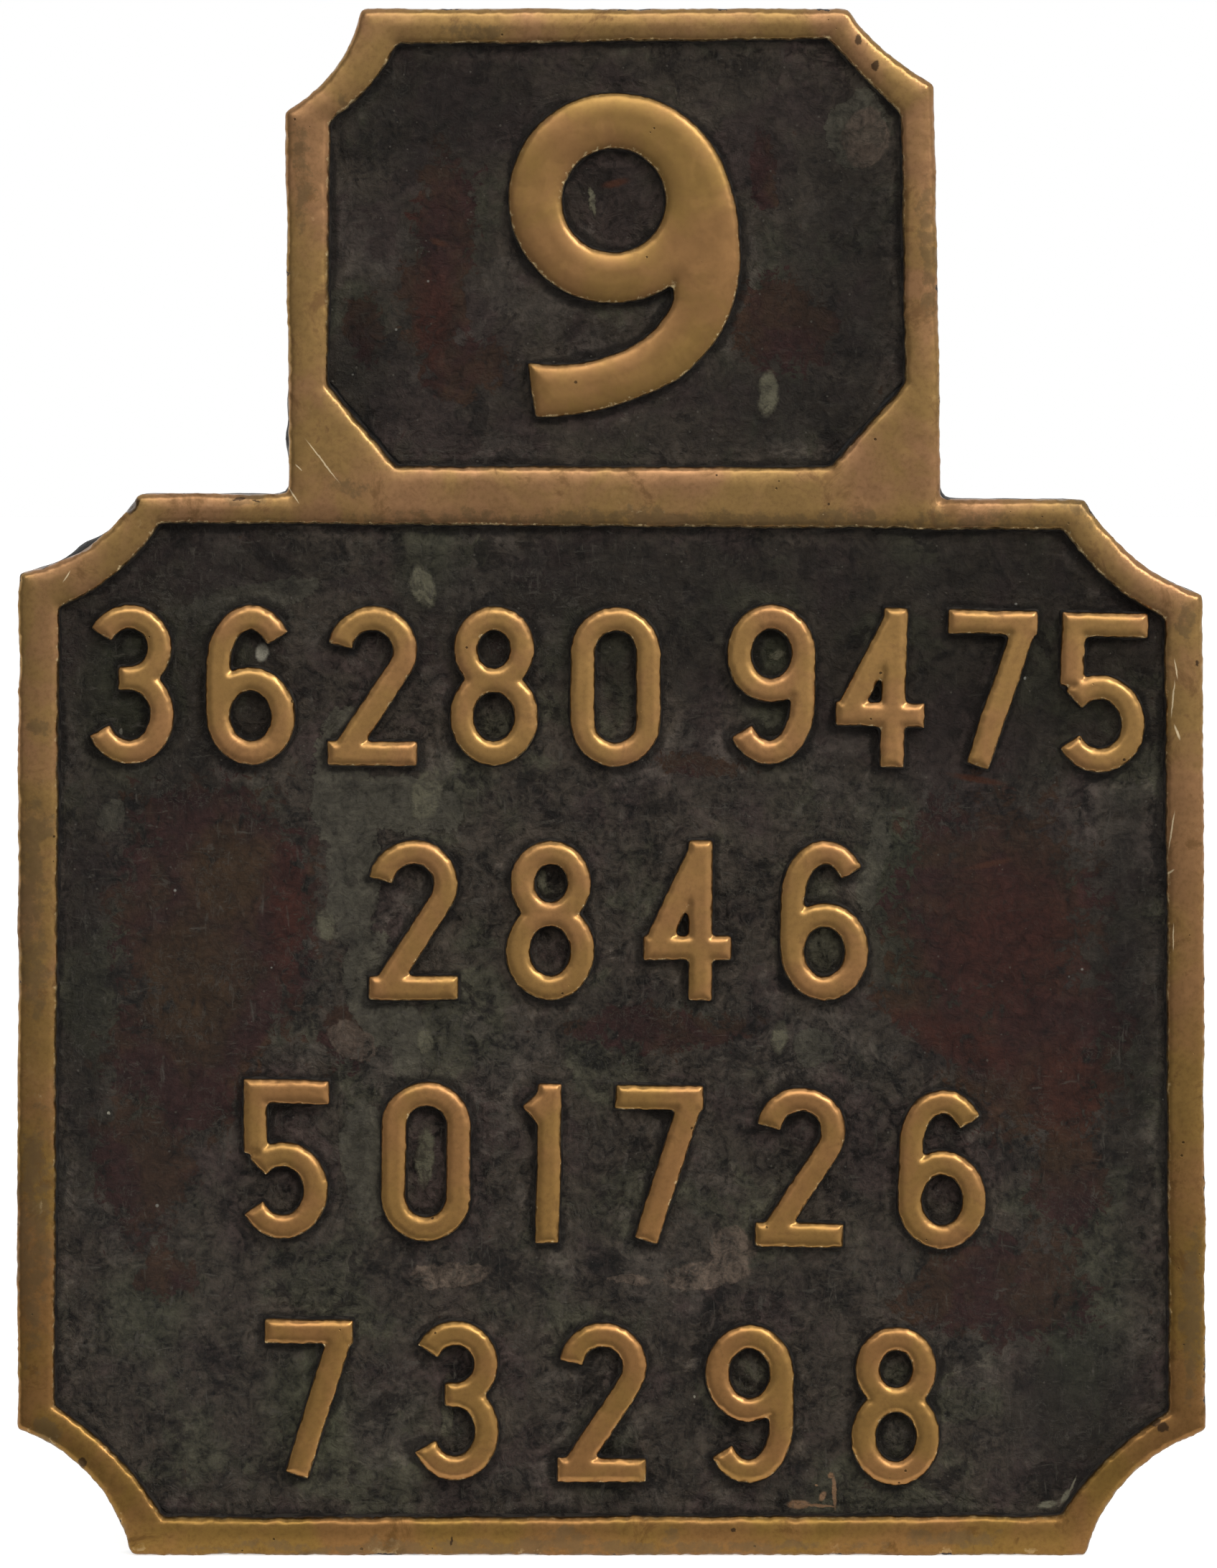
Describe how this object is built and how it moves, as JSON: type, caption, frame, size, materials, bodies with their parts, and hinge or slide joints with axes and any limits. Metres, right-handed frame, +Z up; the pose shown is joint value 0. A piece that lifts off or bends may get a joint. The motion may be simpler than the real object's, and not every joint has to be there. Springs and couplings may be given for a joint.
{
  "type": "lever plate",
  "caption": "Cast brass lever plate: a number tablet above a legend panel, worn raised rim and figures on black paint, rear ears bolted to a lever.",
  "frame": {"origin": "middle of the rear seat, where the plate bears on the front edge of its lever", "axes": "+Y out of the back towards the lever, +Z up the plate, +X to the right seen from the front; the face looks along -Y"},
  "size_m": [0.1174, 0.0289, 0.1524],
  "materials": {
    "cast_brass": "as cast, browned",
    "worn_brass": "worn satin",
    "panel_paint": "aged matt black",
    "oiled_iron": "dull, browned"
  },
  "bodies": {
    "root": {"back_plate": "cast_brass", "raised_border": "worn_brass", "lever_number": "worn_brass", "number_panel_paint": "panel_paint", "legend_panel_paint": "panel_paint", "first_row_left_figure_1": "worn_brass", "first_row_left_figure_2": "worn_brass", "first_row_left_figure_3": "worn_brass", "first_row_left_figure_4": "worn_brass", "first_row_left_figure_5": "worn_brass", "first_row_right_figure_1": "worn_brass", "first_row_right_figure_2": "worn_brass", "first_row_right_figure_3": "worn_brass", "first_row_right_figure_4": "worn_brass", "second_row_figure_1": "worn_brass", "second_row_figure_2": "worn_brass", "second_row_figure_3": "worn_brass", "second_row_figure_4": "worn_brass", "third_row_figure_1": "worn_brass", "third_row_figure_2": "worn_brass", "third_row_figure_3": "worn_brass", "third_row_figure_4": "worn_brass", "third_row_figure_5": "worn_brass", "third_row_figure_6": "worn_brass", "fourth_row_figure_1": "worn_brass", "fourth_row_figure_2": "worn_brass", "fourth_row_figure_3": "worn_brass", "fourth_row_figure_4": "worn_brass", "fourth_row_figure_5": "worn_brass", "lever_bolts": "oiled_iron", "bolt_nuts": "oiled_iron", "bolt_washers": "oiled_iron"}
  },
  "joints": []
}
